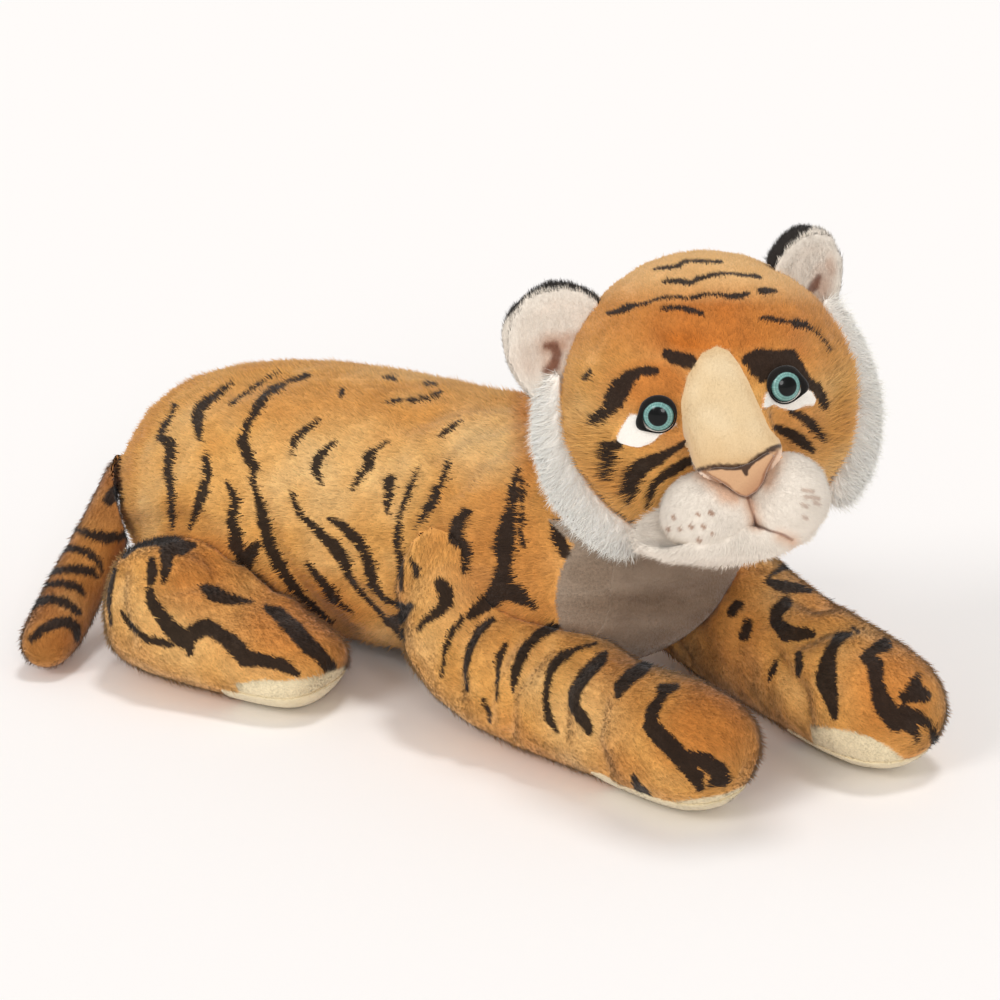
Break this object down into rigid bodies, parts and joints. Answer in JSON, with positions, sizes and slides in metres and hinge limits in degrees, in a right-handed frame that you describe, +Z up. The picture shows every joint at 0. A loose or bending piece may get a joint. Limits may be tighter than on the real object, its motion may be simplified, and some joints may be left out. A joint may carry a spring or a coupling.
{
  "type": "plush tiger",
  "caption": "Soft plush tiger lying on its belly with its head turned: sewn striped pile covers over stuffing, safety eyes and a ringed tail.",
  "frame": {"origin": "on the floor, on the flat of the belly panel under the middle of the torso", "axes": "+Z up; the chest and front legs point to -Y; the tiger's right side is -X"},
  "size_m": [0.492, 0.68, 0.3712],
  "materials": {
    "golden_pile": "short pile plush, airbrushed stripes",
    "tail_pile": "short pile plush, darker, ringed",
    "white_pile": "long white pile plush",
    "bib_pile": "short off-white plush",
    "sole_pile": "short cream plush",
    "bridge_pile": "very short cream plush",
    "nose_cloth": "pink brushed cloth",
    "black_felt": "black felt",
    "fibre": "loose polyester fibre",
    "eye_plastic": "teal painted iris with a black pupil",
    "clear_plastic": "clear domed plastic",
    "washer_plastic": "white lock washer"
  },
  "bodies": {
    "torso": {"torso_cover": "golden_pile", "belly_panel": "bib_pile", "torso_stuffing": "fibre", "neck_stuffing": "fibre"},
    "head": {"head_cover": "golden_pile", "head_stuffing": "fibre", "chin": "white_pile", "nose_bridge": "bridge_pile", "nose": "nose_cloth", "ruff_right": "white_pile", "muzzle_right": "white_pile", "eye_dome_right": "clear_plastic", "eye_disc_right": "eye_plastic", "eye_washer_right": "washer_plastic", "eye_lid_right": "black_felt", "eye_white_right": "white_pile", "ruff_left": "white_pile", "muzzle_left": "white_pile", "eye_dome_left": "clear_plastic", "eye_disc_left": "eye_plastic", "eye_washer_left": "washer_plastic", "eye_lid_left": "black_felt", "eye_white_left": "white_pile"},
    "tail": {"tail_cover": "tail_pile", "tail_stuffing": "fibre"},
    "front_leg_right": {"front_leg_right_cover": "golden_pile", "front_leg_right_stuffing": "fibre", "front_leg_right_sole": "sole_pile"},
    "hind_leg_right": {"hind_leg_right_cover": "golden_pile", "hind_leg_right_stuffing": "fibre", "hind_leg_right_sole": "sole_pile"},
    "ear_right": {"ear_back_right": "golden_pile", "ear_lining_right": "white_pile"},
    "front_leg_left": {"front_leg_left_cover": "golden_pile", "front_leg_left_stuffing": "fibre", "front_leg_left_sole": "sole_pile"},
    "hind_leg_left": {"hind_leg_left_cover": "golden_pile", "hind_leg_left_stuffing": "fibre", "hind_leg_left_sole": "sole_pile"},
    "ear_left": {"ear_back_left": "golden_pile", "ear_lining_left": "white_pile"}
  },
  "joints": [
    {"name": "head_turn", "type": "hinge", "parent": "torso", "child": "head", "pos_m": [0.0193, -0.2875, 0.19], "axis": [0, 0, 1], "range_deg": [-12, 12], "stiffness_Nm_per_rad": 0.8},
    {"name": "front_leg_right_spread", "type": "hinge", "parent": "torso", "child": "front_leg_right", "pos_m": [-0.0647, -0.1985, 0], "axis": [0, 0, -1], "range_deg": [0, 15], "stiffness_Nm_per_rad": 0.5},
    {"name": "front_leg_left_spread", "type": "hinge", "parent": "torso", "child": "front_leg_left", "pos_m": [0.1193, -0.1985, 0], "axis": [0, 0, 1], "range_deg": [0, 15], "stiffness_Nm_per_rad": 0.5},
    {"name": "hind_leg_right_swing", "type": "hinge", "parent": "torso", "child": "hind_leg_right", "pos_m": [-0.1837, 0.0265, 0], "axis": [0, 0, -1], "range_deg": [0, 15], "stiffness_Nm_per_rad": 0.5},
    {"name": "hind_leg_left_swing", "type": "hinge", "parent": "torso", "child": "hind_leg_left", "pos_m": [0.1983, 0.0265, 0], "axis": [0, 0, 1], "range_deg": [0, 15], "stiffness_Nm_per_rad": 0.5},
    {"name": "tail_swing", "type": "hinge", "parent": "torso", "child": "tail", "pos_m": [-0.0527, 0.1725, 0], "axis": [0, 0, -1], "range_deg": [0, 15], "stiffness_Nm_per_rad": 0.05},
    {"name": "ear_right_fold", "type": "hinge", "parent": "head", "child": "ear_right", "pos_m": [-0.03208, -0.30277, 0.26675], "axis": [-0.5963, 0.538, -0.5958], "range_deg": [0, 20], "stiffness_Nm_per_rad": 0.15},
    {"name": "ear_left_fold", "type": "hinge", "parent": "head", "child": "ear_left", "pos_m": [0.08148, -0.38621, 0.2964], "axis": [-0.9675, -0.0577, 0.2461], "range_deg": [0, 20], "stiffness_Nm_per_rad": 0.15}
  ]
}
